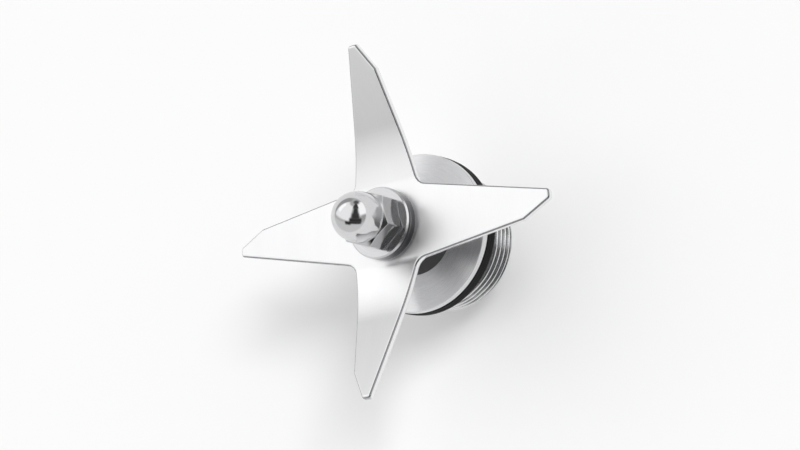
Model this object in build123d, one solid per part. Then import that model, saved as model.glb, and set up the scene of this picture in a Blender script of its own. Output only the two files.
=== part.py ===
from build123d import *
import os
from math import cos, radians, sin, tan

# A blender blade unit: a four-wing blade clamped by a domed cap nut to a shaft that runs in two
# ball bearings, inside a flanged and threaded housing that screws into the bottom of a jar.
# Lengths are in millimetres and angles in degrees. +Z runs up the shaft towards the cap nut,
# and the origin is on the shaft's axis, level with the gasket's sealing face, where the jar seats.
# Two wings lie flat along X and two are bent up along Y.

# Fits
STATIC_CLEARANCE = 0.02
RUNNING_CLEARANCE = 0.05
LOOSE_CLEARANCE = 0.15

# Blade
BLADE_THICKNESS = 2.0
WING_REACH = 46.5
HUB_OFFSET_BACK = 11.5
HUB_OFFSET_CUTTING = 11.5
TIP_SWEEP = 0.4
TIP_UNCUT_WIDTH = 5.2
TIP_WIDTH = 2.3
TIP_CUT_ANGLE = 27.5
INNER_CORNER_RADIUS = 3.0
BEND_MARGIN = 0.5
BEND_ANGLE = 10.0
BEND_RADIUS = 8.0
CURVE_ANGLE = 11.6
CURVE_RADIUS = 70.0

# Cap nut and washers
NUT_ACROSS_FLATS = 13.0
NUT_HEIGHT = 15.3
NUT_HEX_HEIGHT = 6.6
NUT_DOME_STEP = 0.3
NUT_CAP_WALL = 5.0
NUT_CHAMFER_ANGLE = 30.0
NUT_TURN = -21.0
STUD_END_GAP = 0.8
UPPER_WASHER_DIAMETER = 18.2
UPPER_WASHER_THICKNESS = 1.4
UPPER_WASHER_CHAMFER = 0.4
LOWER_WASHER_DIAMETER = 18.0
LOWER_WASHER_THICKNESS = 2.0
LOWER_WASHER_CHAMFER = 0.15

# Shaft and spacer collar
SHAFT_DIAMETER = 8.0
STUD_ACROSS_FLATS = 6.5
SHOULDER_HEIGHT = 2.5
SHOULDER_STEP = 0.1
DRIVE_DIAMETER = 9.0
DRIVE_LENGTH = 12.0
DRIVE_TEETH = 12
DRIVE_TOOTH_DEPTH = 0.7
DRIVE_TOOTH_TIP_WIDTH = 0.8
DRIVE_TOOTH_BASE_WIDTH = 1.6
DRIVE_CHAMFER = 0.8
STUD_CHAMFER = 0.8
COLLAR_DIAMETER = 11.0
COLLAR_HEAD_DIAMETER = 16.0
COLLAR_HEAD_HEIGHT = 2.5
COLLAR_CHAMFER = 0.3

# Housing, gasket and retaining ring
THREAD_DIAMETER = 36.0
THREAD_END_CHAMFER = 1.2
THREAD_RELIEF_DEPTH = 1.2
FLANGE_LIP = 2.7
FLANGE_THICKNESS = 2.0
FLANGE_EDGE_RADIUS = 0.3
BLADE_GAP = 11.5
WEB_THICKNESS = 1.2
WEB_LIP = 1.5
END_LIP = 1.8
GASKET_THICKNESS = 3.5
GASKET_PROUD = 0.2
GASKET_EDGE_RADIUS = 0.4
GASKET_LIP_RECESS = 0.8
RING_THICKNESS = 1.0
RING_GROOVE_DEPTH = 0.6
RING_WIDTH = 2.2
RING_GAP_ANGLE = 50.0
RING_LUG_RADIUS = 1.6
RING_LUG_HOLE_RADIUS = 0.7

# Shaft seal and its garter spring
SEAL_DIAMETER = 22.0
SEAL_HEIGHT = 4.0
SEAL_WALL = 1.3
SEAL_WEB = 1.1
SEAL_LIP_THICKNESS = 1.2
SEAL_LIP_FLARE = 0.5
SEAL_LIP_END_GAP = 0.5
SPRING_WIRE_RADIUS = 0.45
SPRING_PROUD = 0.15

# Ball bearings
BEARING_DIAMETER = 19.0
BALL_DIAMETER = 3.175
BALL_COUNT = 8
BALL_CLEARANCE = 0.02
RACE_RADIUS_RATIO = 1.04
RACE_DEPTH = 0.54
POCKET_CLEARANCE = 0.1
CAGE_WALL = 1.2
CAGE_RIM = 0.35
SHIELD_THICKNESS = 0.3
SHIELD_RECESS = 0.25
SHIELD_LEDGE = 0.4
SHIELD_GAP = 0.4125
SHIELD_CLEARANCE = 0.1

# Radii and widths that follow from the sizes above
shaft_radius = SHAFT_DIAMETER / 2
collar_radius = COLLAR_DIAMETER / 2
thread_radius = THREAD_DIAMETER / 2
neck_radius = thread_radius - THREAD_RELIEF_DEPTH
flange_radius = thread_radius + FLANGE_LIP
bearing_radius = BEARING_DIAMETER / 2
ball_radius = BALL_DIAMETER / 2
pitch_radius = (shaft_radius + bearing_radius) / 2
inner_land_radius = pitch_radius - ball_radius + RACE_DEPTH
outer_land_radius = pitch_radius + ball_radius - RACE_DEPTH
race_radius = ball_radius * RACE_RADIUS_RATIO
race_offset = ball_radius + BALL_CLEARANCE - race_radius
pocket_radius = ball_radius + POCKET_CLEARANCE
cage_width = 2 * (pocket_radius + CAGE_RIM)
bearing_width = cage_width + 2 * (SHIELD_RECESS + SHIELD_THICKNESS + SHIELD_GAP)
seal_radius = SEAL_DIAMETER / 2
web_opening_radius = bearing_radius - WEB_LIP
groove_radius = bearing_radius + RING_GROOVE_DEPTH
bend_start = LOWER_WASHER_DIAMETER / 2 + BEND_MARGIN

# Levels along the axis, from the gasket upwards and then from the flange downwards
flange_bottom = GASKET_THICKNESS
flange_top = flange_bottom + FLANGE_THICKNESS
blade_bottom = flange_top + BLADE_GAP
blade_middle = blade_bottom + BLADE_THICKNESS / 2
blade_top = blade_bottom + BLADE_THICKNESS
lower_washer_top = blade_top + LOWER_WASHER_THICKNESS
nut_bottom = lower_washer_top + UPPER_WASHER_THICKNESS
nut_bore_top = nut_bottom + NUT_HEIGHT - NUT_CAP_WALL
stud_top = nut_bore_top - STUD_END_GAP
seal_bottom = flange_top - SEAL_HEIGHT
upper_bearing_top = seal_bottom - WEB_THICKNESS
lower_bearing_top = upper_bearing_top - bearing_width
bearings_bottom = lower_bearing_top - bearing_width
groove_bottom = bearings_bottom - RING_THICKNESS - LOOSE_CLEARANCE
housing_bottom = groove_bottom - END_LIP
shoulder_bottom = bearings_bottom - SHOULDER_HEIGHT
drive_bottom = shoulder_bottom - DRIVE_LENGTH


def tube(outer, inner, bottom, top):
    """A plain round tube about the axis, between two levels."""
    ring = Circle(outer) - Circle(inner)
    return extrude(Plane.XY.offset(bottom) * ring, amount=top - bottom)


def turned(points):
    """A solid of revolution about the axis, from (radius, level) points in order."""
    outline = Polyline([(radius, 0, level) for radius, level in points], close=True)
    return revolve(make_face(outline), axis=Axis.Z)


def wing_section(height):
    """A bent wing seen along X, at a height above the sheet's middle: its flat, bend, curve and arm."""
    flat = Line((0, blade_middle + height), (bend_start, blade_middle + height))
    bend = JernArc(flat @ 1, flat % 1, BEND_RADIUS - height, BEND_ANGLE)
    curve = JernArc(bend @ 1, bend % 1, CURVE_RADIUS - height, CURVE_ANGLE)
    arm = Line(curve @ 1, curve @ 1 + curve % 1 * 2 * WING_REACH)
    return [flat, bend, curve, arm]


def bent_sheet():
    """The blade's blank before it is cut to shape: flat in the middle and bent up at both Y ends."""
    lower = wing_section(-BLADE_THICKNESS / 2)
    upper = wing_section(BLADE_THICKNESS / 2)
    end = Line(lower[-1] @ 1, upper[-1] @ 1)
    middle = Line(lower[0] @ 0, upper[0] @ 0)
    section = make_face([*lower, end, *upper, middle])
    half = extrude(Plane.YZ * section, amount=2 * WING_REACH, both=True)
    return half + mirror(half, about=Plane.XZ)


def wing_outline(reach):
    """One wing along +X in plan, running a little past its tip, which is trimmed later."""
    past = reach + 2 * BLADE_THICKNESS
    back_slope = -(HUB_OFFSET_BACK + TIP_SWEEP) / reach
    cutting_slope = (HUB_OFFSET_CUTTING - TIP_SWEEP - TIP_UNCUT_WIDTH) / reach
    corners = [
        (0, HUB_OFFSET_BACK),
        (past, HUB_OFFSET_BACK + back_slope * past),
        (past, -HUB_OFFSET_CUTTING + cutting_slope * past),
        (0, -HUB_OFFSET_CUTTING),
    ]
    return make_face(Polyline(corners, close=True))


def tip_waste(plane, tip):
    """What the tip's blunt end and its slanting cut take off, square to the sheet of that wing."""
    beyond = tip + WING_REACH
    cut_start = -TIP_SWEEP - TIP_WIDTH
    cut_run = (cut_start + HUB_OFFSET_CUTTING) / tan(radians(TIP_CUT_ANGLE))
    corners = [
        (tip, HUB_OFFSET_BACK),
        (tip, cut_start),
        (tip - cut_run, -HUB_OFFSET_CUTTING),
        (beyond, -HUB_OFFSET_CUTTING),
        (beyond, HUB_OFFSET_BACK),
    ]
    return extrude(plane * make_face(Polyline(corners, close=True)), amount=WING_REACH, both=True)


def make_blade():
    flat, bend, curve, arm = wing_section(0)
    arm_start = arm @ 0
    arm_way = arm % 0
    arm_length = WING_REACH - flat.length - bend.length - curve.length
    bent_reach = arm_start.X + arm_length * arm_way.X

    flat_wing = wing_outline(WING_REACH)
    bent_wing = wing_outline(bent_reach)
    star = flat_wing + Rot(Z=90) * bent_wing + Rot(Z=180) * flat_wing + Rot(Z=270) * bent_wing
    inner_corners = star.vertices().sort_by_distance((0, 0, 0))[:4]
    star = fillet(inner_corners, INNER_CORNER_RADIUS)
    star_height = blade_top + 2 * WING_REACH
    blade = bent_sheet() & extrude(star, amount=star_height)

    flat_plane = Plane(origin=(0, 0, blade_middle))
    arm_plane = Plane(
        origin=(arm_start.X, 0, arm_start.Y),
        x_dir=(arm_way.X, 0, arm_way.Y),
        z_dir=(-arm_way.Y, 0, arm_way.X),
    )
    flat_waste = tip_waste(flat_plane, WING_REACH)
    bent_waste = tip_waste(arm_plane, arm_length)
    blade -= [flat_waste, Rot(Z=90) * bent_waste, Rot(Z=180) * flat_waste, Rot(Z=270) * bent_waste]
    return blade - stud(STATIC_CLEARANCE)


def stud(growth):
    """The shaft's upper end with its two flats, grown all round to make the hole that fits it."""
    round_section = Circle(shaft_radius + growth)
    flats = Rectangle(2 * SHAFT_DIAMETER, STUD_ACROSS_FLATS + 2 * growth)
    return extrude(Plane.XY.offset(blade_bottom) * (round_section & flats), amount=stud_top - blade_bottom)


def make_cap_nut():
    dome_radius = NUT_ACROSS_FLATS / 2 - NUT_DOME_STEP
    corner_radius = NUT_ACROSS_FLATS / 2 / cos(radians(30))
    corner_drop = (corner_radius - NUT_ACROSS_FLATS / 2) * tan(radians(NUT_CHAMFER_ANGLE))
    hex_top = nut_bottom + NUT_HEX_HEIGHT
    hexagon = Rot(Z=NUT_TURN) * RegularPolygon(corner_radius, 6)
    hexagon = extrude(Plane.XY.offset(nut_bottom) * hexagon, amount=NUT_HEX_HEIGHT)
    rounding = turned([
        (0, nut_bottom),
        (NUT_ACROSS_FLATS / 2, nut_bottom),
        (corner_radius, nut_bottom + corner_drop),
        (corner_radius, hex_top - corner_drop),
        (NUT_ACROSS_FLATS / 2, hex_top),
        (0, hex_top),
    ])
    dome_centre = nut_bottom + NUT_HEIGHT - dome_radius
    neck_height = dome_centre - nut_bottom
    neck = extrude(Plane.XY.offset(nut_bottom) * Circle(dome_radius), amount=neck_height)
    dome = Pos(0, 0, dome_centre) * Sphere(dome_radius)
    bore_radius = shaft_radius + STATIC_CLEARANCE
    bore_height = nut_bore_top - nut_bottom
    bore = extrude(Plane.XY.offset(nut_bottom) * Circle(bore_radius), amount=bore_height)
    above_base = extrude(Plane.XY.offset(nut_bottom) * Circle(2 * corner_radius), amount=NUT_HEIGHT)
    return (hexagon & rounding) + ((neck + dome) & above_base) - bore


def make_washer(diameter, bottom, top, rim_chamfer):
    washer = tube(diameter / 2, shaft_radius + LOOSE_CLEARANCE, bottom, top)
    rim = washer.edges().group_by(Axis.Z)[-1].sort_by(SortBy.RADIUS)[-1]
    return chamfer(rim, rim_chamfer)


def make_drive_spline():
    root_radius = DRIVE_DIAMETER / 2 - DRIVE_TOOTH_DEPTH
    tip_radius = DRIVE_DIAMETER / 2
    inside = root_radius - DRIVE_TOOTH_DEPTH
    tooth = make_face(Polyline([
        (inside, -DRIVE_TOOTH_BASE_WIDTH / 2),
        (tip_radius, -DRIVE_TOOTH_TIP_WIDTH / 2),
        (tip_radius, DRIVE_TOOTH_TIP_WIDTH / 2),
        (inside, DRIVE_TOOTH_BASE_WIDTH / 2),
    ], close=True))
    section = Circle(root_radius)
    for index in range(DRIVE_TEETH):
        section += Rot(Z=360 / DRIVE_TEETH * index) * tooth
    spline = extrude(Plane.XY.offset(drive_bottom) * section, amount=DRIVE_LENGTH)
    lead_in = turned([
        (0, drive_bottom),
        (tip_radius - DRIVE_CHAMFER, drive_bottom),
        (DRIVE_DIAMETER, drive_bottom + DRIVE_CHAMFER + tip_radius),
        (DRIVE_DIAMETER, shoulder_bottom),
        (0, shoulder_bottom),
    ])
    return spline & lead_in


def make_drive_shaft():
    shoulder_radius = inner_land_radius - SHOULDER_STEP
    journal = turned([
        (0, shoulder_bottom),
        (shoulder_radius, shoulder_bottom),
        (shoulder_radius, bearings_bottom),
        (shaft_radius, bearings_bottom),
        (shaft_radius, blade_bottom),
        (0, blade_bottom),
    ])
    point = turned([
        (0, blade_bottom),
        (shaft_radius, blade_bottom),
        (shaft_radius, stud_top - STUD_CHAMFER),
        (shaft_radius - STUD_CHAMFER, stud_top),
        (0, stud_top),
    ])
    return journal + (stud(0) & point) + make_drive_spline()


def make_spacer_collar():
    bore = shaft_radius + STATIC_CLEARANCE
    head_radius = COLLAR_HEAD_DIAMETER / 2
    head_bottom = blade_bottom - COLLAR_HEAD_HEIGHT
    return turned([
        (bore, upper_bearing_top),
        (collar_radius - COLLAR_CHAMFER, upper_bearing_top),
        (collar_radius, upper_bearing_top + COLLAR_CHAMFER),
        (collar_radius, head_bottom),
        (head_radius - COLLAR_CHAMFER, head_bottom),
        (head_radius, head_bottom + COLLAR_CHAMFER),
        (head_radius, blade_bottom),
        (bore, blade_bottom),
    ])


def make_housing():
    outside = turned([
        (0, housing_bottom),
        (thread_radius - THREAD_END_CHAMFER, housing_bottom),
        (thread_radius, housing_bottom + THREAD_END_CHAMFER),
        (thread_radius, 0),
        (neck_radius, 0),
        (neck_radius, flange_bottom),
        (flange_radius, flange_bottom),
        (flange_radius, flange_top),
        (0, flange_top),
    ])
    flange_edge = outside.edges().group_by(Axis.Z)[-1]
    outside = fillet(flange_edge, FLANGE_EDGE_RADIUS)
    inside = turned([
        (0, housing_bottom),
        (bearing_radius + STATIC_CLEARANCE, housing_bottom),
        (bearing_radius + STATIC_CLEARANCE, groove_bottom),
        (groove_radius, groove_bottom),
        (groove_radius, bearings_bottom),
        (bearing_radius + STATIC_CLEARANCE, bearings_bottom),
        (bearing_radius + STATIC_CLEARANCE, upper_bearing_top),
        (web_opening_radius, upper_bearing_top),
        (web_opening_radius, seal_bottom),
        (seal_radius + STATIC_CLEARANCE, seal_bottom),
        (seal_radius + STATIC_CLEARANCE, flange_top),
        (0, flange_top),
    ])
    return outside - inside


def make_gasket():
    """A moulded ring whose inner lip sits in the thread's relief, set back from the sealing face."""
    outer = flange_radius + GASKET_PROUD
    land_bore = thread_radius + LOOSE_CLEARANCE
    lip_bore = neck_radius + LOOSE_CLEARANCE
    gasket = turned([
        (outer, 0),
        (outer, flange_bottom),
        (lip_bore, flange_bottom),
        (lip_bore, GASKET_LIP_RECESS),
        (land_bore, GASKET_LIP_RECESS),
        (land_bore, 0),
    ])
    outer_edges = gasket.edges().filter_by(GeomType.CIRCLE).sort_by(SortBy.RADIUS)[-2:]
    return fillet(outer_edges, GASKET_EDGE_RADIUS)


def make_retaining_ring():
    """A round ring with a gap, and a lug with a plier hole at each side of the gap."""
    outer = groove_radius - STATIC_CLEARANCE
    inner = bearing_radius - RING_WIDTH
    middle = (outer + inner) / 2
    lug_middle = inner + STATIC_CLEARANCE
    lug_angle = RING_GAP_ANGLE / 2
    reach = 2 * groove_radius
    gap_edge = reach * tan(radians(lug_angle))
    gap = make_face(Polyline([(0, 0), (reach, -gap_edge), (reach, gap_edge)], close=True))
    section = Circle(outer) - Circle(inner) - gap
    for side in (-1, 1):
        turn = Rot(Z=side * lug_angle)
        section += turn * Pos(lug_middle, 0) * Circle(RING_LUG_RADIUS)
        section += turn * Pos((lug_middle + middle) / 2, 0) * Rectangle(middle - lug_middle, RING_LUG_RADIUS)
    for side in (-1, 1):
        section -= Rot(Z=side * lug_angle) * Pos(lug_middle, 0) * Circle(RING_LUG_HOLE_RADIUS)
    return extrude(Plane.XY.offset(bearings_bottom - RING_THICKNESS) * section, amount=RING_THICKNESS)


def spring_centre():
    """Where the garter spring's wire lies: its radius from the axis and its level."""
    lip_outside = collar_radius + RUNNING_CLEARANCE + SEAL_LIP_THICKNESS
    level = seal_bottom + SEAL_LIP_END_GAP + SPRING_WIRE_RADIUS + SEAL_LIP_FLARE / 2
    return lip_outside + SPRING_PROUD, level


def make_shaft_seal():
    lip = collar_radius + RUNNING_CLEARANCE
    spring_radius, spring_level = spring_centre()
    body = turned([
        (seal_radius, seal_bottom),
        (seal_radius, flange_top),
        (lip + SEAL_LIP_FLARE, flange_top),
        (lip + SEAL_LIP_FLARE, flange_top - SEAL_WEB),
        (lip, spring_level),
        (lip + SEAL_LIP_FLARE, seal_bottom + SEAL_LIP_END_GAP),
        (lip + SEAL_LIP_THICKNESS, seal_bottom + SEAL_LIP_END_GAP),
        (lip + SEAL_LIP_THICKNESS, flange_top - SEAL_WEB),
        (seal_radius - SEAL_WALL, flange_top - SEAL_WEB),
        (seal_radius - SEAL_WALL, seal_bottom),
    ])
    groove = Pos(0, 0, spring_level) * Torus(spring_radius, SPRING_WIRE_RADIUS + STATIC_CLEARANCE)
    return body - groove


def make_seal_spring():
    spring_radius, spring_level = spring_centre()
    return Pos(0, 0, spring_level) * Torus(spring_radius, SPRING_WIRE_RADIUS)


def make_bearing(name, top):
    """The six pieces of one shielded ball bearing, by node name."""
    bottom = top - bearing_width
    middle = Pos(0, 0, top - bearing_width / 2)
    bore = shaft_radius + STATIC_CLEARANCE
    inner_race = middle * Torus(pitch_radius - race_offset, race_radius)
    outer_race = middle * Torus(pitch_radius + race_offset, race_radius)
    inner_ring = tube(inner_land_radius, bore, bottom, top) - inner_race
    outer_ring = tube(bearing_radius, outer_land_radius, bottom, top) - outer_race

    recess_depth = SHIELD_RECESS + SHIELD_THICKNESS
    recess_radius = outer_land_radius + SHIELD_LEDGE
    outer_ring -= tube(recess_radius, outer_land_radius / 2, top - recess_depth, top)
    outer_ring -= tube(recess_radius, outer_land_radius / 2, bottom, bottom + recess_depth)
    shield_outer = recess_radius - STATIC_CLEARANCE
    shield_inner = inner_land_radius + SHIELD_CLEARANCE
    top_shield = tube(shield_outer, shield_inner, top - recess_depth, top - SHIELD_RECESS)
    bottom_shield = tube(shield_outer, shield_inner, bottom + SHIELD_RECESS, bottom + recess_depth)

    balls = []
    cage = middle * tube(
        pitch_radius + CAGE_WALL / 2, pitch_radius - CAGE_WALL / 2, -cage_width / 2, cage_width / 2)
    for index in range(BALL_COUNT):
        place = middle * Rot(Z=360 / BALL_COUNT * index) * Pos(pitch_radius, 0, 0)
        balls.append(place * Sphere(ball_radius))
        cage -= place * Rot(Y=90) * Cylinder(pocket_radius, 2 * CAGE_WALL)
    return {
        f"{name}_bearing_inner_ring": inner_ring,
        f"{name}_bearing_outer_ring": outer_ring,
        f"{name}_bearing_balls": Compound(children=balls),
        f"{name}_bearing_cage": cage,
        f"{name}_bearing_top_shield": top_shield,
        f"{name}_bearing_bottom_shield": bottom_shield,
    }


def make_parts():
    parts = {
        "blade": make_blade(),
        "cap_nut": make_cap_nut(),
        "upper_washer": make_washer(
            UPPER_WASHER_DIAMETER, lower_washer_top, nut_bottom, UPPER_WASHER_CHAMFER),
        "lower_washer": make_washer(
            LOWER_WASHER_DIAMETER, blade_top, lower_washer_top, LOWER_WASHER_CHAMFER),
        "drive_shaft": make_drive_shaft(),
        "spacer_collar": make_spacer_collar(),
        "bearing_housing": make_housing(),
        "gasket": make_gasket(),
        "shaft_seal": make_shaft_seal(),
        "seal_spring": make_seal_spring(),
        "retaining_ring": make_retaining_ring(),
    }
    parts.update(make_bearing("upper", upper_bearing_top))
    parts.update(make_bearing("lower", lower_bearing_top))
    return parts


os.makedirs("parts", exist_ok=True)
for node, solid in make_parts().items():
    export_step(solid, f"parts/{node}.step")
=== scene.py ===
import math

import bmesh
import bpy
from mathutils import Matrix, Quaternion, Vector
from mathutils.geometry import delaunay_2d_cdt


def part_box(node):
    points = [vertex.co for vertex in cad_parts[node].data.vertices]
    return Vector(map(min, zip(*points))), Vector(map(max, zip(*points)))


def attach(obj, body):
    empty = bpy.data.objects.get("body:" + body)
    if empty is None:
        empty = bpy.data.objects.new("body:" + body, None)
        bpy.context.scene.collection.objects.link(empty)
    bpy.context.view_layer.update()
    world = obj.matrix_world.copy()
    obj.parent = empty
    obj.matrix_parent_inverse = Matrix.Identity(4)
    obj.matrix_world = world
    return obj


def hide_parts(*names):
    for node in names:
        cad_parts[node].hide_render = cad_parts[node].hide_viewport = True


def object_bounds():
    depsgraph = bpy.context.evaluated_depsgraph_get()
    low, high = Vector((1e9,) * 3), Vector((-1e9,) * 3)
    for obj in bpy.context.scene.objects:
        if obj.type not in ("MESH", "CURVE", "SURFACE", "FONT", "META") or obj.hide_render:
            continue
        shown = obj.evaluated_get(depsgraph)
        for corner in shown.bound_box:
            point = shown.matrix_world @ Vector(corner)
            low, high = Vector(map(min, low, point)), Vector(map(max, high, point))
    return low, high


# The looks of a blender blade unit: a brushed four-wing blade under a chromed cap nut, on a turned
# and threaded housing with a black gasket. Lengths are in millimetres until a mesh is made of them.

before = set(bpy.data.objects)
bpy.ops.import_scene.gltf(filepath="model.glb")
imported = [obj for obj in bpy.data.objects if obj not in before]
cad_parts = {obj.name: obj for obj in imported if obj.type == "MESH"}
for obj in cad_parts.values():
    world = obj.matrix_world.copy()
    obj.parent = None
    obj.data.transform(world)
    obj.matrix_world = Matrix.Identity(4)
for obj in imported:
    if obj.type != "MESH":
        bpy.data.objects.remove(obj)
cad_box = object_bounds()

MM = 0.001

# Blade
BLADE_THICKNESS = 2.0
WING_REACH = 46.5
HUB_OFFSET_BACK = 11.5
HUB_OFFSET_CUTTING = 11.5
TIP_SWEEP = 0.4
TIP_UNCUT_WIDTH = 5.2
TIP_WIDTH = 2.3
TIP_CUT_ANGLE = math.radians(27.5)
TIP_CORNER_RADIUS = 0.85
INNER_CORNER_RADIUS = 3.0
BLADE_EDGE_RADIUS = 0.6
BLADE_EDGE_STEPS = 7
STUD_RADIUS = 4.02
STUD_HALF_FLATS = 3.27
STUD_ARC_STEPS = 12

# The two stages in which a bent wing leaves the hub's level: radius at the middle of the sheet,
# angle, and the flat steps it is made of
BEND_START = 9.5
BENDS = (
    (8.0, math.radians(10.0), 8),
    (70.0, math.radians(11.6), 12),
)

# Cap nut
NUT_HALF_FLATS = 6.5
NUT_CORNER_RADIUS = 0.45
NUT_HEX_HEIGHT = 6.6
NUT_CHAMFER_RADIUS = 6.25
NUT_CHAMFER_SLOPE = math.tan(math.radians(30))
NUT_DOME_RADIUS = 6.2
NUT_BORE_RADIUS = 4.02
NUT_CAP_WALL = 5.0
NUT_TURN = math.radians(-21)
NUT_EDGE_RADIUS = 0.14
NUT_SIDES = 6
NUT_SECTOR = 2 * math.pi / NUT_SIDES
NUT_FLAT_STEPS = 8
NUT_FLAT_SUPPORT = 0.985
NUT_CORNER_STEPS = 6
DOME_STEPS = 20

# Washers
UPPER_WASHER_RADIUS = 9.1
UPPER_WASHER_CHAMFER = 0.4
LOWER_WASHER_RADIUS = 9.0
LOWER_WASHER_CHAMFER = 0.15
WASHER_BORE_RADIUS = 4.15
WASHER_EDGE_RADIUS = 0.1
WASHER_CHAMFER_ROUNDING = 0.05

# Housing
THREAD_RADIUS = 18.0
THREAD_PITCH = 2.0
THREAD_DEPTH = 1.2
THREAD_ROOT_RADIUS = THREAD_RADIUS - THREAD_DEPTH
THREAD_ROOT_SHARE = 0.25
THREAD_CREST_SHARE = 0.15
THREAD_ROWS_PER_PITCH = 16
THREAD_START_CHAMFER = 1.0
THREAD_END_CHAMFER = 1.2
THREAD_MARGIN = 0.01
NECK_RADIUS = 16.8
FLANGE_RADIUS = 20.7
FLANGE_THICKNESS = 2.0
FLANGE_EDGE_RADIUS = 0.3
FLANGE_UNDERSIDE_ROUNDING = 0.15
BEARING_BORE_RADIUS = 9.52
BORE_MOUTH_ROUNDING = 0.2
RING_GROOVE_RADIUS = 10.1
WEB_OPENING_RADIUS = 8.0
SEAL_POCKET_RADIUS = 11.02
SEAL_POCKET_ROUNDING = 0.15

# Gasket
GASKET_RADIUS = 20.9
GASKET_EDGE_RADIUS = 0.4
GASKET_LAND_BORE = 18.15
GASKET_LIP_BORE = 16.95
GASKET_LIP_RECESS = 0.8
GASKET_BORE_ROUNDING = 0.15
GASKET_FLASH = 0.06
GASKET_FLASH_WIDTH = 0.25
GASKET_FLASH_ROUNDING = 0.03

# How finely things are divided, and how closely places are found
TURN_STEPS = 180
CORNER_STEPS = 4
CORNER_SUPPORT = 0.06
SHARP_ANGLE = math.radians(38)
CUT_HALVINGS = 40
CORNER_ROUNDS = 30
LEAST_INSET_SHARE = 0.3
BEND_LINE_MARGIN = 1e-4
FILL_MARGIN = 1e-6

# The kind of result of delaunay_2d_cdt that leaves out what lies outside the rim
FILL_INSIDE = 1

# Blade steel: a grain along Y, smooth sides, and a painted dark reflection on the arrises
# between sides and faces
SHEET_DARK = (0.80, 0.80, 0.81)
SHEET_LIGHT = (0.92, 0.92, 0.925)
SHEET_ROUGHNESS = (0.30, 0.38)
SHEET_ANISOTROPY = 0.6
GRAIN_STRETCH = (9000, 260, 260)
GRAIN_DETAIL = 3.0
GRAIN_SHARE = 0.6
GRAIN_RELIEF = 0.12
SHEET_CLOUD_STRETCH = (160, 40, 40)
ROUNDED_SLOPE = (0.96, 0.8)
SIDE_SLOPE = (0.5, 0.2)
ROUNDED_ROUGHNESS = 0.2
PAINTED_DARK_ARRIS_COLOUR = (0.27, 0.27, 0.28)

# Turned metal: its two tones, its roughness from line to line, how many lines the tool left on a
# millimetre, how deep they look, and how far they draw out the gloss
WASHER_STEEL = {
    "dark": (0.48, 0.48, 0.49), "light": (0.76, 0.76, 0.77), "roughness": (0.16, 0.26),
    "lines_per_mm": 5.0, "relief": 0.2, "anisotropy": 0.3,
}
HOUSING_STEEL = {
    "dark": (0.70, 0.70, 0.71), "light": (0.78, 0.78, 0.79), "roughness": (0.25, 0.31),
    "lines_per_mm": 12.0, "relief": 0.06, "anisotropy": 0.95,
}
SHAFT_STEEL = {
    "dark": (0.55, 0.55, 0.56), "light": (0.68, 0.68, 0.69), "roughness": (0.2, 0.32),
    "lines_per_mm": 6.0, "relief": 0.15, "anisotropy": 0.4,
}
RACE_STEEL = {
    "dark": (0.60, 0.60, 0.62), "light": (0.72, 0.72, 0.74), "roughness": (0.14, 0.24),
    "lines_per_mm": 8.0, "relief": 0.1, "anisotropy": 0.4,
}
SHIELD_STEEL = {
    "dark": (0.52, 0.52, 0.54), "light": (0.64, 0.64, 0.66), "roughness": (0.25, 0.38),
    "lines_per_mm": 4.0, "relief": 0.15, "anisotropy": 0.3,
}
LINE_DETAIL = 3.0
LINE_SHARE = 0.7
TURNED_CLOUD_SCALE = 90.0
QUARTER_TURN = 0.25
# The washers' steep side faces: where a painted dark reflection lies on them, and its colour
WASHER_SHADE_SLOPE = (0.6, 0.3)
PAINTED_WASHER_SIDE_SHADE = (0.16, 0.16, 0.17)
RELIEF_DEPTH = 0.02 * MM

# The thread's painted shade in its grooves: how far below the crests it begins and how far above
# the roots it is full, how far inside the roots it is gone and is full again, how far below the
# gasket's seat it is full, and the thread's roughness
PAINTED_ROOT_SHADE_COLOUR = (0.16, 0.16, 0.17)
ROOT_SHADE_STARTS = 0.2
ROOT_SHADE_FULL = 0.3
ROOT_SHADE_INSIDE = (0.4, 0.1)
ROOT_SHADE_BELOW = 0.1
THREAD_ROUGHNESS = 0.2

# Plated, polished and drawn metal
NUT_CHROME = {"dark": (0.62, 0.62, 0.63), "light": (0.68, 0.68, 0.69), "roughness": (0.07, 0.12)}
BALL_STEEL = {"dark": (0.66, 0.66, 0.68), "light": (0.74, 0.74, 0.76), "roughness": (0.05, 0.1)}
SPRING_STEEL = {"dark": (0.30, 0.30, 0.32), "light": (0.44, 0.44, 0.46), "roughness": (0.28, 0.4)}
CAGE_BRASS = {"dark": (0.62, 0.46, 0.20), "light": (0.76, 0.58, 0.28), "roughness": (0.24, 0.36)}
POLISH_CLOUD_SCALE = 140.0
POLISH_CLOUD_DETAIL = 3.0
POLISH_SKIN_SCALE = 2600.0
POLISH_RELIEF = 0.03
POLISH_RELIEF_DEPTH = 0.01 * MM

# Rubber
GASKET_RUBBER = {"dark": (0.005, 0.005, 0.0055), "light": (0.010, 0.010, 0.0105)}
SEAL_RUBBER = {"dark": (0.085, 0.085, 0.087), "light": (0.115, 0.115, 0.117)}
RUBBER_ROUGHNESS = (0.55, 0.75)
RUBBER_SPECULAR = 0.12
RUBBER_DETAIL = 3.0
RUBBER_CLOUD_SCALE = 220.0
RUBBER_SKIN_SCALE = 5200.0
RUBBER_RELIEF = 0.25
RUBBER_RELIEF_DEPTH = 0.03 * MM

# Between these values lies most of a noise texture
NOISE_RANGE = (0.3, 0.7)

# Floor: its reach in metres, what it gives to other surfaces, and how it is seen
FLOOR_REACH = 4.0
FLOOR_COLOUR = (0.8, 0.8, 0.8)
SEEN_FLOOR_COLOUR = (0.75, 0.75, 0.75)
SEEN_FLOOR_GLOW = 0.11

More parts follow.
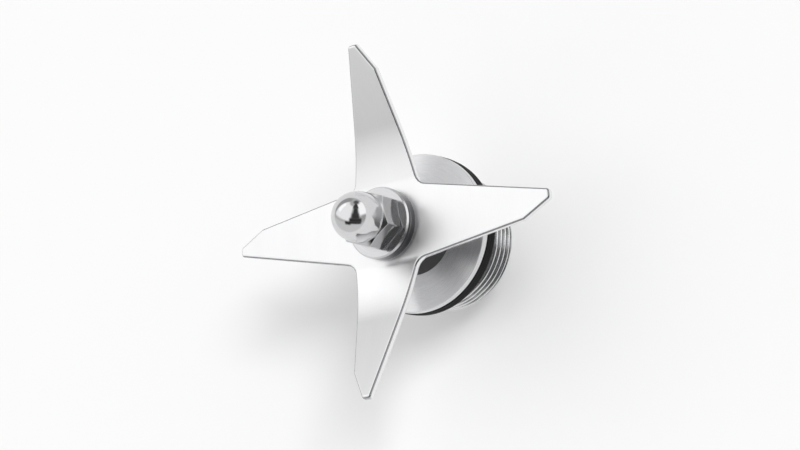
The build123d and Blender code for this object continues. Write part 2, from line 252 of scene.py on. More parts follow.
# Studio: its own level is tilted against the floor, as the photograph's is. Soft-edged patches of
# light and dark lie in it by azimuth, from the camera's side to its right, and by elevation, in
# degrees. Each patch covers those before it
STUDIO_FRONT = Vector((0.416, -0.598, 0.685))
STUDIO_RIGHT = Vector((0.822, -0.075, -0.564))
STUDIO_UP = Vector((0.388, 0.798, 0.461))
STUDIO_LEVEL = 0.58
STUDIO_PATCHES = (
    # azimuth range, elevation range, softness, brightness
    ((-200, 200), (-100, -9), 6, 0.76),
    ((-109, -27), (0, 66), 5, 1.19),
    ((-107, -88), (18, 52), 4, 1.5),
    ((-150, -113), (5, 70), 4, 0.42),
    ((17, 108), (26, 78), 8, 1.40),
    ((27, 52), (2, 26), 6, 0.45),
    ((-32, 25), (-4, 14), 5, 0.04),
    ((-23, 16), (10, 36), 6, 0.05),
    ((-18, 12), (30, 62), 6, 0.05),
    ((-30, 22), (58, 86), 6, 0.06),
    ((-50, -24), (-17, -3), 4, 0.02),
    ((-28, 22), (-12, -2), 4, 0.02),
    ((-200, 200), (80, 100), 5, 0.12),
)

# Backdrop: white all round the floor. Of the way straight up, it is gone at the first share and
# full below the second
WORLD_UP = Vector((0, 0, 1))
BACKDROP_ENDS = (0.22, 0.13)
BACKDROP_LEVEL = 0.975

# Lamp: a wide soft sun, and the way to it
LAMP_WAY = Vector((0.641, 0.164, 0.750))
LAMP_ANGLE = math.radians(20)
LAMP_STRENGTH = 1.75

# Camera: the photograph's own angle, with the picture's sideways stretch taken out
CAMERA_AIM = Vector((0.67, 0.7, 13.3)) * MM
CAMERA_DISTANCE = 396.0 * MM
CAMERA_AZIMUTH = math.radians(65.67)
CAMERA_ELEVATION = math.radians(54.6)
CAMERA_ROLL = math.radians(74.2)
CAMERA_LENS = 70.37
CAMERA_SENSOR = 36.0


def level(node, end):
    """The lowest (0) or highest (1) level of a CAD node, in millimetres."""
    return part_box(node)[end].z / MM


def soften(points, closed=True):
    """A loop of (x, y, corner radius) points with each corner turned into a small arc."""
    loop = []
    count = len(points)
    for index, (x, y, corner) in enumerate(points):
        here = Vector((x, y))
        at_end = not closed and index in (0, count - 1)
        if at_end or corner == 0:
            loop.append((x, y))
            continue
        before = Vector(points[index - 1][:2]) - here
        after = Vector(points[(index + 1) % count][:2]) - here
        before_way = before.normalized()
        after_way = after.normalized()
        half_angle = before_way.angle(after_way) / 2
        tangent = corner / math.tan(half_angle)
        centre = here + (before_way + after_way).normalized() * corner / math.sin(half_angle)
        first = here + before_way * tangent - centre
        last = here + after_way * tangent - centre
        if before.length > 2 * (tangent + CORNER_SUPPORT):
            loop.append(tuple(centre + first + before_way * CORNER_SUPPORT))
        for step in range(CORNER_STEPS + 1):
            spoke = first.lerp(last, step / CORNER_STEPS).normalized() * corner
            loop.append(tuple(centre + spoke))
        if after.length > 2 * (tangent + CORNER_SUPPORT):
            loop.append(tuple(centre + last + after_way * CORNER_SUPPORT))
    return loop


def to_object(name, shape, always_smooth=None):
    """Turns a bmesh in millimetres into an object in metres, smooth between its sharp edges."""
    bmesh.ops.recalc_face_normals(shape, faces=shape.faces)
    for face in shape.faces:
        face.smooth = True
    for edge in shape.edges:
        inside = always_smooth is not None and all(always_smooth(vert.co) for vert in edge.verts)
        edge.smooth = inside or edge.calc_face_angle(0) < SHARP_ANGLE
    bmesh.ops.scale(shape, vec=(MM, MM, MM), verts=shape.verts)
    mesh = bpy.data.meshes.new(name)
    shape.to_mesh(mesh)
    shape.free()
    piece = bpy.data.objects.new(name, mesh)
    bpy.context.scene.collection.objects.link(piece)
    return piece


def spin(name, profile_at, angles, closed=True, always_smooth=None):
    """A surface round the axis: profile_at gives the (radius, level) points at each angle."""
    shape = bmesh.new()
    poles = {}
    columns = []
    for angle in angles:
        column = []
        for index, (radius, height) in enumerate(profile_at(angle)):
            if radius > 0:
                place = (radius * math.cos(angle), radius * math.sin(angle), height)
                column.append(shape.verts.new(place))
            else:
                if index not in poles:
                    poles[index] = shape.verts.new((0, 0, height))
                column.append(poles[index])
        columns.append(column)
    rows = len(columns[0])
    for index, column in enumerate(columns):
        following = columns[(index + 1) % len(columns)]
        for row in range(rows if closed else rows - 1):
            above = (row + 1) % rows
            corners = [column[row], following[row], following[above], column[above]]
            corners = list(dict.fromkeys(corners))
            if len(corners) > 2:
                shape.faces.new(corners)
    return to_object(name, shape, always_smooth)


def even_angles(count):
    return [2 * math.pi * step / count for step in range(count)]


def stands_for(piece, node, body, material):
    """The piece takes the place of a CAD node, moves with its body and wears the material."""
    piece.data.materials.append(material)
    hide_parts(node)
    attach(piece, body)


def along_wing(run):
    """Where a run along a bent wing's sheet leads: how far out, how high and at what angle."""
    out, rise, angle = min(run, BEND_START), 0.0, 0.0
    left = run - out
    for radius, turn, _ in BENDS:
        step = min(left / radius, turn)
        out += radius * (math.sin(angle + step) - math.sin(angle))
        rise += radius * (math.cos(angle) - math.cos(angle + step))
        angle += step
        left -= radius * step
    return out + left * math.cos(angle), rise + left * math.sin(angle), angle


def wing_edges(bent):
    """The back and the cutting edge of a wing: two functions of the run along the sheet."""

    def measure(run):
        return along_wing(run)[0] if bent else run

    reach = measure(WING_REACH)
    back_slope = -(HUB_OFFSET_BACK + TIP_SWEEP) / reach
    cutting_slope = (HUB_OFFSET_CUTTING - TIP_SWEEP - TIP_UNCUT_WIDTH) / reach

    def back(run):
        return HUB_OFFSET_BACK + back_slope * measure(run)

    def cutting(run):
        return -HUB_OFFSET_CUTTING + cutting_slope * measure(run)

    return back, cutting


def cut_start(cutting):
    """The run at which the tip's slanting cut leaves the cutting edge."""
    low, high = WING_REACH / 2, WING_REACH
    for _ in range(CUT_HALVINGS):
        middle = (low + high) / 2
        cut = -TIP_SWEEP - TIP_WIDTH - (WING_REACH - middle) * math.tan(TIP_CUT_ANGLE)
        if cut < cutting(middle):
            low = middle
        else:
            high = middle
    return low


def inner_corner(back, next_cutting):
    """Where a wing's back meets the cutting edge of the wing a quarter turn on."""
    corner = Vector((0, 0))
    for _ in range(CORNER_ROUNDS):
        corner.y = back(corner.x)
        corner.x = -next_cutting(corner.y)
    return corner


def bend_lines():
    """The runs along a bent wing between which the sheet is taken as flat."""
    runs = [BEND_START]
    for radius, angle, steps in BENDS:
        first, length = runs[-1], radius * angle
        runs += [first + length * step / steps for step in range(1, steps + 1)]
    return runs


def blade_outline():
    """The blade's outline in the flat, anticlockwise, with its corners rounded."""
    wings = [wing_edges(bent=False), wing_edges(bent=True)] * 2
    past_corners = HUB_OFFSET_CUTTING + INNER_CORNER_RADIUS
    bend_runs = [run for run in bend_lines() if run > past_corners]
    outline = []
    for index, (back, cutting) in enumerate(wings):
        next_cutting = wings[(index + 1) % len(wings)][1]
        bent = index % 2 == 1
        leave = cut_start(cutting)
        wing = [(run, cutting(run), 0) for run in bend_runs] if bent else []
        wing.append((leave, cutting(leave), TIP_CORNER_RADIUS))
        wing.append((WING_REACH, -TIP_SWEEP - TIP_WIDTH, TIP_CORNER_RADIUS))
        wing.append((WING_REACH, -TIP_SWEEP, TIP_CORNER_RADIUS))
        if bent:
            wing += [(run, back(run), 0) for run in reversed(bend_runs)]
        corner = inner_corner(back, next_cutting)
        wing.append((corner.x, corner.y, INNER_CORNER_RADIUS))
        turn = index * math.pi / 2
        for along, across, radius in wing:
            x = along * math.cos(turn) - across * math.sin(turn)
            y = along * math.sin(turn) + across * math.cos(turn)
            outline.append((x, y, radius))
    return soften(outline)


def stud_hole():
    """The hole for the shaft's flats, clockwise."""
    flat_end = math.acos(STUD_HALF_FLATS / STUD_RADIUS)
    first, last = math.pi / 2 - flat_end, flat_end - math.pi / 2
    arc = [first + (last - first) * step / STUD_ARC_STEPS for step in range(STUD_ARC_STEPS + 1)]
    half = [(STUD_RADIUS * math.cos(angle), STUD_RADIUS * math.sin(angle)) for angle in arc]
    return half + [(-x, -y) for x, y in half]


def inset(loop, distance):
    """The same loop moved to its left by a distance, corner by corner."""
    moved = []
    for index, point in enumerate(loop):
        here = Vector(point)
        way_in = (here - Vector(loop[index - 1])).normalized()
        way_out = (Vector(loop[(index + 1) % len(loop)]) - here).normalized()
        left_in = Vector((-way_in.y, way_in.x))
        left_out = Vector((-way_out.y, way_out.x))
        middle = (left_in + left_out).normalized()
        moved.append(here + middle * distance / max(middle.dot(left_in), LEAST_INSET_SHARE))
    return moved


def bend_up(place):
    """Moves a point of the flat blank to where the bend of its wing takes it."""
    out, rise, angle = along_wing(abs(place.y))
    out -= place.z * math.sin(angle)
    rise += place.z * math.cos(angle)
    return Vector((place.x, math.copysign(out, place.y), rise))


def fill_between(shape, rim, hole):
    """Flat triangles from a rim in to the edge of a hole."""
    verts = rim + hole
    first = len(rim)
    edges = [(index, (index + 1) % first) for index in range(first)]
    edges += [(first + index, first + (index + 1) % len(hole)) for index in range(len(hole))]
    flat = [vert.co.to_2d() for vert in verts]
    triangles = delaunay_2d_cdt(flat, edges, [], FILL_INSIDE, FILL_MARGIN)[2]
    for corners in triangles:
        if min(corners) < first:
            shape.faces.new([verts[corner] for corner in corners])


def flat_blade():
    """The blade's sheet before it is bent, with rounded edges."""
    half = BLADE_THICKNESS / 2
    edge = BLADE_EDGE_RADIUS
    section = [(edge + CORNER_SUPPORT, half)]
    for step in range(BLADE_EDGE_STEPS + 1):
        angle = math.pi / 2 * step / BLADE_EDGE_STEPS
        section.append((edge * (1 - math.sin(angle)), half - edge * (1 - math.cos(angle))))
    section += [(depth, -height) for depth, height in reversed(section)]

    shape = bmesh.new()
    faces_of_sheet = ([], [])
    for loop in (blade_outline(), stud_hole()):
        rings = []
        for depth, height in section:
            ring = [shape.verts.new((point.x, point.y, height)) for point in inset(loop, depth)]
            rings.append(ring)
        for ring, following in zip(rings, rings[1:]):
            for index in range(len(ring)):
                after = (index + 1) % len(ring)
                shape.faces.new((ring[index], following[index], following[after], ring[after]))
        faces_of_sheet[0].append(rings[0])
        faces_of_sheet[1].append(rings[-1])
    for rim, hole in faces_of_sheet:
        fill_between(shape, rim, hole)
    return shape


def make_blade(material):
    shape = flat_blade()
    for side in (-1, 1):
        for run in bend_lines():
            everything = shape.verts[:] + shape.edges[:] + shape.faces[:]
            bmesh.ops.bisect_plane(
                shape, geom=everything, dist=BEND_LINE_MARGIN,
                plane_co=(0, side * run, 0), plane_no=(0, 1, 0))
    flat_places = {vert: vert.co.copy() for vert in shape.verts}
    grain = shape.loops.layers.uv.new("grain")
    for face in shape.faces:
        for loop in face.loops:
            place = flat_places[loop.vert]
            loop[grain].uv = (place.x / WING_REACH, place.y / WING_REACH)
    middle_level = level("lower_washer", 0) - BLADE_THICKNESS / 2
    for vert, place in flat_places.items():
        vert.co = bend_up(place) + Vector((0, 0, middle_level))
    stands_for(to_object("blade_sheet", shape), "blade", "rotor", material)


def hex_radius(angle):
    """How far out the nut's six-sided wall is at an angle, with its corners a little rounded."""
    from_corner = abs((angle - NUT_TURN + NUT_SECTOR / 2) % NUT_SECTOR - NUT_SECTOR / 2)
    inner = NUT_HALF_FLATS - NUT_CORNER_RADIUS
    centre = inner / math.cos(NUT_SECTOR / 2)
    from_flat = NUT_SECTOR / 2 - from_corner
    if math.tan(from_flat) * NUT_HALF_FLATS < inner * math.tan(NUT_SECTOR / 2):
        return NUT_HALF_FLATS / math.cos(from_flat)
    side = centre * math.sin(from_corner)
    return centre * math.cos(from_corner) + math.sqrt(NUT_CORNER_RADIUS ** 2 - side ** 2)


def nut_angles():
    """Angles round the nut, closer together at its six corners."""
    inner = NUT_HALF_FLATS - NUT_CORNER_RADIUS
    flat_end = math.atan(inner * math.tan(NUT_SECTOR / 2) / NUT_HALF_FLATS)
    corner_angle = NUT_SECTOR - 2 * flat_end
    flat_steps = range(-NUT_FLAT_STEPS, NUT_FLAT_STEPS + 1)
    corner_steps = range(1, NUT_CORNER_STEPS)
    offsets = [flat_end * step / NUT_FLAT_STEPS for step in flat_steps]
    offsets += [-flat_end * NUT_FLAT_SUPPORT, flat_end * NUT_FLAT_SUPPORT]
    offsets += [flat_end + corner_angle * step / NUT_CORNER_STEPS for step in corner_steps]
    return [NUT_TURN + NUT_SECTOR / 2 + corner * NUT_SECTOR + offset
            for corner in range(NUT_SIDES) for offset in sorted(offsets)]


def make_cap_nut(material):
    base = level("cap_nut", 0)
    top = level("cap_nut", 1)
    hex_top = base + NUT_HEX_HEIGHT
    dome_centre = top - NUT_DOME_RADIUS
    bore_top = top - NUT_CAP_WALL
    dome = []
    for step in range(1, DOME_STEPS):
        angle = math.pi / 2 * step / DOME_STEPS
        rise = NUT_DOME_RADIUS * math.sin(angle)
        dome.append((NUT_DOME_RADIUS * math.cos(angle), dome_centre + rise))

    def profile(angle):
        wall = hex_radius(angle)
        drop = (wall - NUT_CHAMFER_RADIUS) * NUT_CHAMFER_SLOPE
        points = soften([
            (0, bore_top, 0),
            (NUT_BORE_RADIUS, bore_top, 0),
            (NUT_BORE_RADIUS, base, 0),
            (NUT_CHAMFER_RADIUS, base, NUT_EDGE_RADIUS),
            (wall, base + drop, NUT_EDGE_RADIUS),
            (wall, hex_top - drop, NUT_EDGE_RADIUS),
            (NUT_DOME_RADIUS, hex_top, 0),
            (NUT_DOME_RADIUS, dome_centre, 0),
        ], closed=False)
        return points + dome + [(0, top)]

    nut = spin("domed_cap_nut", profile, nut_angles(), closed=False)
    stands_for(nut, "cap_nut", "rotor", material)


def make_washer(name, node, radius, chamfer, material):
    bottom, top = level(node, 0), level(node, 1)
    loop = soften([
        (WASHER_BORE_RADIUS, bottom, WASHER_EDGE_RADIUS),
        (radius, bottom, WASHER_EDGE_RADIUS),
        (radius, top - chamfer, WASHER_CHAMFER_ROUNDING),
        (radius - chamfer, top, WASHER_CHAMFER_ROUNDING),
        (WASHER_BORE_RADIUS, top, WASHER_EDGE_RADIUS),
    ])
    washer = spin(name, lambda angle: loop, even_angles(TURN_STEPS))
    stands_for(washer, node, "rotor", material)


def thread_radius(angle, height, bottom):
    """The thread's surface: a right-handed ridge that fades out at both ends."""
    phase = (height / THREAD_PITCH - angle / (2 * math.pi)) % 1
    from_root = abs(phase - 0.5) * 2
    flank = (1 - THREAD_CREST_SHARE - from_root) / (1 - THREAD_CREST_SHARE - THREAD_ROOT_SHARE)
    ridge = THREAD_RADIUS - THREAD_DEPTH * min(max(flank, 0), 1)
    start = NECK_RADIUS - height * THREAD_DEPTH / THREAD_START_CHAMFER
    end = THREAD_RADIUS - THREAD_END_CHAMFER + (height - bottom)
    return min(ridge, start, end)


def make_housing(material):
    bottom = level("bearing_housing", 0)
    flange_top = level("bearing_housing", 1)
    flange_bottom = flange_top - FLANGE_THICKNESS
    ring_bottom, ring_top = level("retaining_ring", 0), level("retaining_ring", 1)
    bearing_top = level("upper_bearing_outer_ring", 1)
    seal_bottom = level("shaft_seal", 0)
    plain_wall = soften([
        (BEARING_BORE_RADIUS, bottom, BORE_MOUTH_ROUNDING),
        (BEARING_BORE_RADIUS, ring_bottom, 0),
        (RING_GROOVE_RADIUS, ring_bottom, 0),
        (RING_GROOVE_RADIUS, ring_top, 0),
        (BEARING_BORE_RADIUS, ring_top, 0),
        (BEARING_BORE_RADIUS, bearing_top, 0),
        (WEB_OPENING_RADIUS, bearing_top, 0),
        (WEB_OPENING_RADIUS, seal_bottom, 0),
        (SEAL_POCKET_RADIUS, seal_bottom, 0),
        (SEAL_POCKET_RADIUS, flange_top, SEAL_POCKET_ROUNDING),
        (FLANGE_RADIUS, flange_top, FLANGE_EDGE_RADIUS),
        (FLANGE_RADIUS, flange_bottom, FLANGE_UNDERSIDE_ROUNDING),
        (NECK_RADIUS, flange_bottom, 0),
        (NECK_RADIUS, 0, 0),
        (NECK_RADIUS, bottom, 0),
    ])
    rows = round(-bottom / THREAD_PITCH * THREAD_ROWS_PER_PITCH)
    heights = [bottom * row / rows for row in range(1, rows)]

    def profile(angle):
        thread = [(thread_radius(angle, height, bottom), height) for height in heights]
        return plain_wall[:-1] + thread + plain_wall[-1:]

    def on_thread(place):
        return place.z < 0 and place.to_2d().length > NECK_RADIUS - THREAD_MARGIN

    housing = spin("threaded_housing", profile, even_angles(TURN_STEPS), always_smooth=on_thread)
    stands_for(housing, "bearing_housing", "housing", material)


def make_gasket(material):
    top = level("gasket", 1)
    middle = top / 2
    flash = GASKET_FLASH_WIDTH / 2
    side = GASKET_RADIUS - GASKET_FLASH
    loop = soften([
        (side, 0, GASKET_EDGE_RADIUS),
        (side, middle - flash, GASKET_FLASH_ROUNDING),
        (GASKET_RADIUS, middle, GASKET_FLASH_ROUNDING),
        (side, middle + flash, GASKET_FLASH_ROUNDING),
        (side, top, GASKET_EDGE_RADIUS),
        (GASKET_LIP_BORE, top, GASKET_BORE_ROUNDING),
        (GASKET_LIP_BORE, GASKET_LIP_RECESS, GASKET_BORE_ROUNDING),
        (GASKET_LAND_BORE, GASKET_LIP_RECESS, 0),
        (GASKET_LAND_BORE, 0, GASKET_BORE_ROUNDING),
    ])
    gasket = spin("rubber_gasket", lambda angle: loop, even_angles(TURN_STEPS))
    stands_for(gasket, "gasket", "housing", material)


class Nodes:
    """A short way to add shader nodes and join them."""

    # The sockets of a Mix node that hold colours come after those for numbers and vectors
    MIX_COLOURS = (6, 7)
    MIX_COLOUR_RESULT = 2

    def __init__(self, tree):
        self.tree = tree

    def add(self, kind, **settings):
        node = self.tree.nodes.new(kind)
        for name, value in settings.items():
            setattr(node, name, value)
        return node

    def join(self, output, target):
        self.tree.links.new(output, target)

    def feed(self, socket, value):
        """Joins an output to a socket, or sets the socket to a fixed number or colour."""
        if isinstance(value, bpy.types.NodeSocket):
            self.join(value, socket)
        elif isinstance(value, tuple):
            socket.default_value = (*value, 1)
        else:
            socket.default_value = value

    def math(self, operation, first, second=None):
        node = self.add("ShaderNodeMath", operation=operation)
        self.feed(node.inputs[0], first)
        if second is not None:
            self.feed(node.inputs[1], second)
        return node.outputs[0]

    def spread(self, noise, low, high):
        """Maps a noise texture to a range, held inside it."""
        node = self.add("ShaderNodeMapRange")
        self.join(noise, node.inputs["Value"])
        node.inputs["From Min"].default_value, node.inputs["From Max"].default_value = NOISE_RANGE
        node.inputs["To Min"].default_value = low
        node.inputs["To Max"].default_value = high
        return node.outputs["Result"]

    def ramp(self, value, start, end):
        """0 up to the start and 1 past the end, with an easy curve between."""
        node = self.add("ShaderNodeMapRange", interpolation_type="SMOOTHSTEP")
        self.join(value, node.inputs["Value"])
        node.inputs["From Min"].default_value = start
        node.inputs["From Max"].default_value = end
        return node.outputs["Result"]

    def mixed(self, share, first, second):
        """A number between two, by a share from 0 to 1."""
        node = self.add("ShaderNodeMix", data_type="FLOAT")
        self.join(share, node.inputs["Factor"])
        self.feed(node.inputs["A"], first)
        self.feed(node.inputs["B"], second)
        return node.outputs["Result"]

    def tint(self, share, first, second):
        """A colour between two, by a share from 0 to 1."""
        node = self.add("ShaderNodeMix", data_type="RGBA")
        self.join(share, node.inputs["Factor"])
        for index, colour in zip(self.MIX_COLOURS, (first, second)):
            self.feed(node.inputs[index], colour)
        return node.outputs[self.MIX_COLOUR_RESULT]

    def blend(self, first, second, first_share):
        """Two noise textures as one, by the first one's share."""
        return self.math("ADD", self.math("MULTIPLY", first, first_share),
                         self.math("MULTIPLY", second, 1 - first_share))

    def noise(self, place, scale, detail=2.0):
        node = self.add("ShaderNodeTexNoise")
        self.join(place, node.inputs["Vector"])
        node.inputs["Scale"].default_value = scale
        node.inputs["Detail"].default_value = detail
        return node.outputs["Fac"]

    def stretched(self, place, scale):
        """The same coordinates scaled differently along each axis."""
        node = self.add("ShaderNodeMapping")
        self.join(place, node.inputs["Vector"])
        node.inputs["Scale"].default_value = scale
        return node.outputs["Vector"]

    def slope(self, flat, steep):
        """0 where a surface is flat and 1 where it is steep, by two values of its normal's Z."""
        parts = self.add("ShaderNodeSeparateXYZ")
        self.join(self.add("ShaderNodeTexCoord").outputs["Normal"], parts.inputs[0])
        return self.ramp(self.math("ABSOLUTE", parts.outputs["Z"]), flat, steep)

    def bump(self, value, strength, distance):
        node = self.add("ShaderNodeBump")
        self.join(value, node.inputs["Height"])
        node.inputs["Strength"].default_value = strength
        node.inputs["Distance"].default_value = distance
        return node.outputs["Normal"]


def new_material(name):
    """A principled material, a way to add to its nodes, its shader and the place on the object."""
    material = bpy.data.materials.new(name)
    material.use_nodes = True
    nodes = Nodes(material.node_tree)
    shader = material.node_tree.nodes["Principled BSDF"]
    place = nodes.add("ShaderNodeTexCoord").outputs["Object"]
    return material, nodes, shader, place


def brushed_steel(name):
    """Stainless sheet: fine grain along Y, smooth sides, painted dark reflection on arrises."""
    material, nodes, shader, place = new_material(name)
    grain = nodes.noise(nodes.stretched(place, GRAIN_STRETCH), 1.0, GRAIN_DETAIL)
    cloud = nodes.noise(nodes.stretched(place, SHEET_CLOUD_STRETCH), 1.0)
    sheet = nodes.tint(nodes.blend(grain, cloud, GRAIN_SHARE), SHEET_DARK, SHEET_LIGHT)
    rounded = nodes.slope(*ROUNDED_SLOPE)
    # A painted dark reflection along the rounded edges, short of the flat faces and the steep sides
    arris_shade = nodes.math("SUBTRACT", rounded, nodes.slope(*SIDE_SLOPE))
    nodes.join(nodes.tint(arris_shade, sheet, PAINTED_DARK_ARRIS_COLOUR), shader.inputs["Base Color"])
    satin = nodes.spread(grain, *SHEET_ROUGHNESS)
    nodes.join(nodes.mixed(rounded, satin, ROUNDED_ROUGHNESS), shader.inputs["Roughness"])
    nodes.join(nodes.bump(grain, GRAIN_RELIEF, RELIEF_DEPTH), shader.inputs["Normal"])
    shader.inputs["Metallic"].default_value = 1.0
    shader.inputs["Anisotropic"].default_value = SHEET_ANISOTROPY
    tangent = nodes.add("ShaderNodeTangent", direction_type="UV_MAP", uv_map="grain")
    nodes.join(tangent.outputs["Tangent"], shader.inputs["Tangent"])
    return material


def thread_shares(nodes, radius, height):
    """Shares from 0 to 1: the painted shade in the thread's grooves, and below the gasket's seat.
    """
    starts = THREAD_RADIUS - ROOT_SHADE_STARTS
    is_full = THREAD_ROOT_RADIUS + ROOT_SHADE_FULL
    gone, full_again = (THREAD_ROOT_RADIUS - inside for inside in ROOT_SHADE_INSIDE)
    deep = nodes.ramp(radius, starts * MM, is_full * MM)
    outside = nodes.ramp(radius, gone * MM, full_again * MM)
    below = nodes.ramp(height, 0.0, -ROOT_SHADE_BELOW * MM)
    groove_shade = nodes.math("MULTIPLY", nodes.math("MULTIPLY", deep, outside), below)
    return groove_shade, below


def turned_steel(name, dark, light, roughness, lines_per_mm, relief, anisotropy,
                 sides=None, roots=None):
    """Metal turned on a lathe, with fine rings on its faces and lines round its sides.

    Its sides can take a painted dark reflection, and its thread's roots a painted shade.
    """
    material, nodes, shader, place = new_material(name)
    parts = nodes.add("ShaderNodeSeparateXYZ")
    nodes.join(place, parts.inputs[0])
    squares = [nodes.math("POWER", parts.outputs[axis], 2.0) for axis in ("X", "Y")]
    radius = nodes.math("SQRT", nodes.math("ADD", *squares))
    texture = nodes.add("ShaderNodeTexNoise", noise_dimensions="1D")
    nodes.join(nodes.math("ADD", radius, parts.outputs["Z"]), texture.inputs["W"])
    texture.inputs["Scale"].default_value = lines_per_mm / MM
    texture.inputs["Detail"].default_value = LINE_DETAIL
    lines = texture.outputs["Fac"]
    cloud = nodes.noise(place, TURNED_CLOUD_SCALE)
    colour = nodes.tint(nodes.blend(lines, cloud, LINE_SHARE), dark, light)
    gloss = nodes.spread(lines, *roughness)
    # A painted dark reflection on the steep side faces
    if sides is not None:
        colour = nodes.tint(nodes.slope(*WASHER_SHADE_SLOPE), colour, sides)
    # Painted shade in the thread's grooves, below the gasket's seat
    if roots is not None:
        groove_shade, below = thread_shares(nodes, radius, parts.outputs["Z"])
        colour = nodes.tint(groove_shade, colour, roots)
        gloss = nodes.mixed(below, gloss, THREAD_ROUGHNESS)
    nodes.join(colour, shader.inputs["Base Color"])
    nodes.join(gloss, shader.inputs["Roughness"])
    nodes.join(nodes.bump(lines, relief, RELIEF_DEPTH), shader.inputs["Normal"])
    shader.inputs["Metallic"].default_value = 1.0
    shader.inputs["Anisotropic"].default_value = anisotropy
    shader.inputs["Anisotropic Rotation"].default_value = QUARTER_TURN
    tangent = nodes.add("ShaderNodeTangent", direction_type="RADIAL", axis="Z")
    nodes.join(tangent.outputs["Tangent"], shader.inputs["Tangent"])
    return material


def polished_metal(name, dark, light, roughness):
    """Plated, polished or drawn metal with a faint cloud in its gloss."""
    material, nodes, shader, place = new_material(name)
    cloud = nodes.noise(place, POLISH_CLOUD_SCALE, POLISH_CLOUD_DETAIL)
    skin = nodes.noise(place, POLISH_SKIN_SCALE)
    nodes.join(nodes.tint(cloud, dark, light), shader.inputs["Base Color"])
    nodes.join(nodes.spread(cloud, *roughness), shader.inputs["Roughness"])
    nodes.join(nodes.bump(skin, POLISH_RELIEF, POLISH_RELIEF_DEPTH), shader.inputs["Normal"])
    shader.inputs["Metallic"].default_value = 1.0
    return material


def rubber(name, dark, light):
    """Moulded rubber: matt, with a fine uneven skin."""
    material, nodes, shader, place = new_material(name)
    cloud = nodes.noise(place, RUBBER_CLOUD_SCALE, RUBBER_DETAIL)
    skin = nodes.noise(place, RUBBER_SKIN_SCALE, RUBBER_DETAIL)
    nodes.join(nodes.tint(cloud, dark, light), shader.inputs["Base Color"])
    nodes.join(nodes.spread(skin, *RUBBER_ROUGHNESS), shader.inputs["Roughness"])
    nodes.join(nodes.bump(skin, RUBBER_RELIEF, RUBBER_RELIEF_DEPTH), shader.inputs["Normal"])
    shader.inputs["Specular IOR Level"].default_value = RUBBER_SPECULAR
    return material


def dress_cad_nodes():
    """Materials for the CAD nodes that keep their own shape."""
    ground = turned_steel("ground_shaft_steel", **SHAFT_STEEL)
    race = turned_steel("bearing_race_steel", **RACE_STEEL)
    shield = turned_steel("pressed_shield_steel", **SHIELD_STEEL)
    ball = polished_metal("ball_steel", **BALL_STEEL)
    spring = polished_metal("oiled_spring_steel", **SPRING_STEEL)
    brass = polished_metal("pressed_brass", **CAGE_BRASS)
    worn = {
        "drive_shaft": ground,
        "spacer_collar": ground,
        "shaft_seal": rubber("seal_rubber_skin", **SEAL_RUBBER),
        "seal_spring": spring,
        "retaining_ring": spring,
    }
    for side in ("upper", "lower"):
        worn[f"{side}_bearing_inner_ring"] = race
        worn[f"{side}_bearing_outer_ring"] = race
        worn[f"{side}_bearing_top_shield"] = shield
        worn[f"{side}_bearing_bottom_shield"] = shield
        worn[f"{side}_bearing_balls"] = ball
        worn[f"{side}_bearing_cage"] = brass
    for node, material in worn.items():
        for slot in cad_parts[node].material_slots:
            slot.material = material


def floor_material():
    """Pale grey to other surfaces; white, with the object's shadow, to the eye and in mirrors."""
    material = bpy.data.materials.new("white_floor")
    material.use_nodes = True
    nodes = Nodes(material.node_tree)
    material.node_tree.nodes.clear()
    path = nodes.add("ShaderNodeLightPath")
    seen = nodes.math("MAXIMUM", path.outputs["Is Camera Ray"], path.outputs["Is Glossy Ray"])
    seen = nodes.math("MAXIMUM", seen, path.outputs["Is Transmission Ray"])
    plain = nodes.add("ShaderNodeBsdfDiffuse")
    nodes.feed(plain.inputs["Color"], FLOOR_COLOUR)
    shadowed = nodes.add("ShaderNodeBsdfDiffuse")
    nodes.feed(shadowed.inputs["Color"], SEEN_FLOOR_COLOUR)
    glow = nodes.add("ShaderNodeEmission")
    nodes.feed(glow.inputs["Strength"], SEEN_FLOOR_GLOW)
    both = nodes.add("ShaderNodeAddShader")
    nodes.join(shadowed.outputs[0], both.inputs[0])
    nodes.join(glow.outputs[0], both.inputs[1])
    mix = nodes.add("ShaderNodeMixShader")
    nodes.join(seen, mix.inputs[0])
    nodes.join(plain.outputs[0], mix.inputs[1])
    nodes.join(both.outputs[0], mix.inputs[2])
    output = nodes.add("ShaderNodeOutputMaterial")
    nodes.join(mix.outputs[0], output.inputs["Surface"])
    return material


def make_floor():
    """A level floor at the end of the unit's drive shaft."""
    shape = bmesh.new()
    bmesh.ops.create_grid(shape, x_segments=1, y_segments=1, size=FLOOR_REACH)
    mesh = bpy.data.meshes.new("floor")
    shape.to_mesh(mesh)
    shape.free()
    floor = bpy.data.objects.new("floor", mesh)
    floor.location.z = cad_box[0].z
    bpy.context.scene.collection.objects.link(floor)
    mesh.materials.append(floor_material())


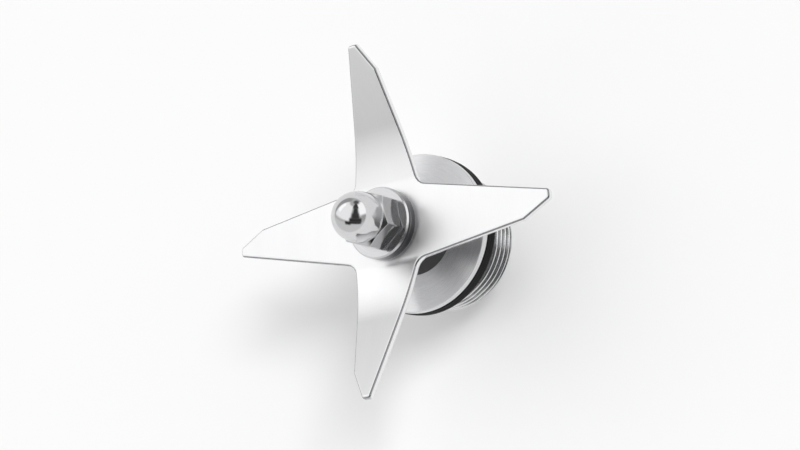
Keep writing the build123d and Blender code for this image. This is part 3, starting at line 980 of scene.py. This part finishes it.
def make_studio():
    """The world: the studio's patches of light and dark, and the white backdrop."""
    world = bpy.data.worlds.new("studio")
    bpy.context.scene.world = world
    world.use_nodes = True
    nodes = Nodes(world.node_tree)
    world.node_tree.nodes.clear()
    way = nodes.add("ShaderNodeTexCoord").outputs["Generated"]

    def share(axis):
        """How much of the direction lies along an axis."""
        dot = nodes.add("ShaderNodeVectorMath", operation="DOT_PRODUCT")
        nodes.join(way, dot.inputs[0])
        dot.inputs[1].default_value = axis
        return dot.outputs["Value"]

    def window(angle, low, high, softness):
        """1 inside a range of angles in degrees and 0 outside it, with soft ends."""
        rise = nodes.ramp(angle, low - softness, low + softness)
        fall = nodes.ramp(angle, high + softness, high - softness)
        return nodes.math("MULTIPLY", rise, fall)

    azimuth = nodes.math("ARCTAN2", share(STUDIO_RIGHT), share(STUDIO_FRONT))
    azimuth = nodes.math("DEGREES", azimuth)
    elevation = nodes.math("DEGREES", nodes.math("ARCSINE", share(STUDIO_UP)))
    light = STUDIO_LEVEL
    for around, above, softness, brightness in STUDIO_PATCHES:
        patch = nodes.math(
            "MULTIPLY", window(azimuth, *around, softness), window(elevation, *above, softness))
        light = nodes.mixed(patch, light, brightness)
    light = nodes.mixed(nodes.ramp(share(WORLD_UP), *BACKDROP_ENDS), light, BACKDROP_LEVEL)
    sky = nodes.add("ShaderNodeBackground")
    nodes.join(light, sky.inputs["Strength"])
    sky.inputs["Color"].default_value = (1, 1, 1, 1)
    output = nodes.add("ShaderNodeOutputWorld")
    nodes.join(sky.outputs[0], output.inputs["Surface"])


def make_lamp():
    """The soft lamp that throws the shadow. Metal mirrors the studio, but not this lamp."""
    lamp = bpy.data.lights.new("softbox", "SUN")
    lamp.angle = LAMP_ANGLE
    lamp.energy = LAMP_STRENGTH
    softbox = bpy.data.objects.new("softbox", lamp)
    softbox.rotation_euler = LAMP_WAY.to_track_quat("Z", "Y").to_euler()
    softbox.visible_glossy = False
    bpy.context.scene.collection.objects.link(softbox)


def make_camera():
    flat = math.cos(CAMERA_ELEVATION)
    back = Vector((
        math.sin(CAMERA_AZIMUTH) * flat,
        -math.cos(CAMERA_AZIMUTH) * flat,
        math.sin(CAMERA_ELEVATION),
    ))
    data = bpy.data.cameras.new("camera")
    data.lens = CAMERA_LENS
    data.sensor_width = CAMERA_SENSOR
    camera = bpy.data.objects.new("camera", data)
    camera.location = CAMERA_AIM + back * CAMERA_DISTANCE
    camera.rotation_mode = "QUATERNION"
    level_view = (-back).to_track_quat("-Z", "Y")
    camera.rotation_quaternion = level_view @ Quaternion((0, 0, 1), -CAMERA_ROLL)
    bpy.context.scene.collection.objects.link(camera)
    bpy.context.scene.camera = camera


make_camera()
make_studio()
make_lamp()
make_floor()
make_blade(brushed_steel("brushed_blade_steel"))
make_cap_nut(polished_metal("nut_chrome", **NUT_CHROME))
washer_steel = turned_steel("polished_washer_steel", **WASHER_STEEL, sides=PAINTED_WASHER_SIDE_SHADE)
make_washer("top_washer", "upper_washer", UPPER_WASHER_RADIUS, UPPER_WASHER_CHAMFER, washer_steel)
make_washer("under_washer", "lower_washer", LOWER_WASHER_RADIUS, LOWER_WASHER_CHAMFER, washer_steel)
make_housing(turned_steel("turned_housing_steel", **HOUSING_STEEL, roots=PAINTED_ROOT_SHADE_COLOUR))
make_gasket(rubber("gasket_rubber_skin", **GASKET_RUBBER))
dress_cad_nodes()

bpy.context.scene.view_settings.view_transform = "Standard"
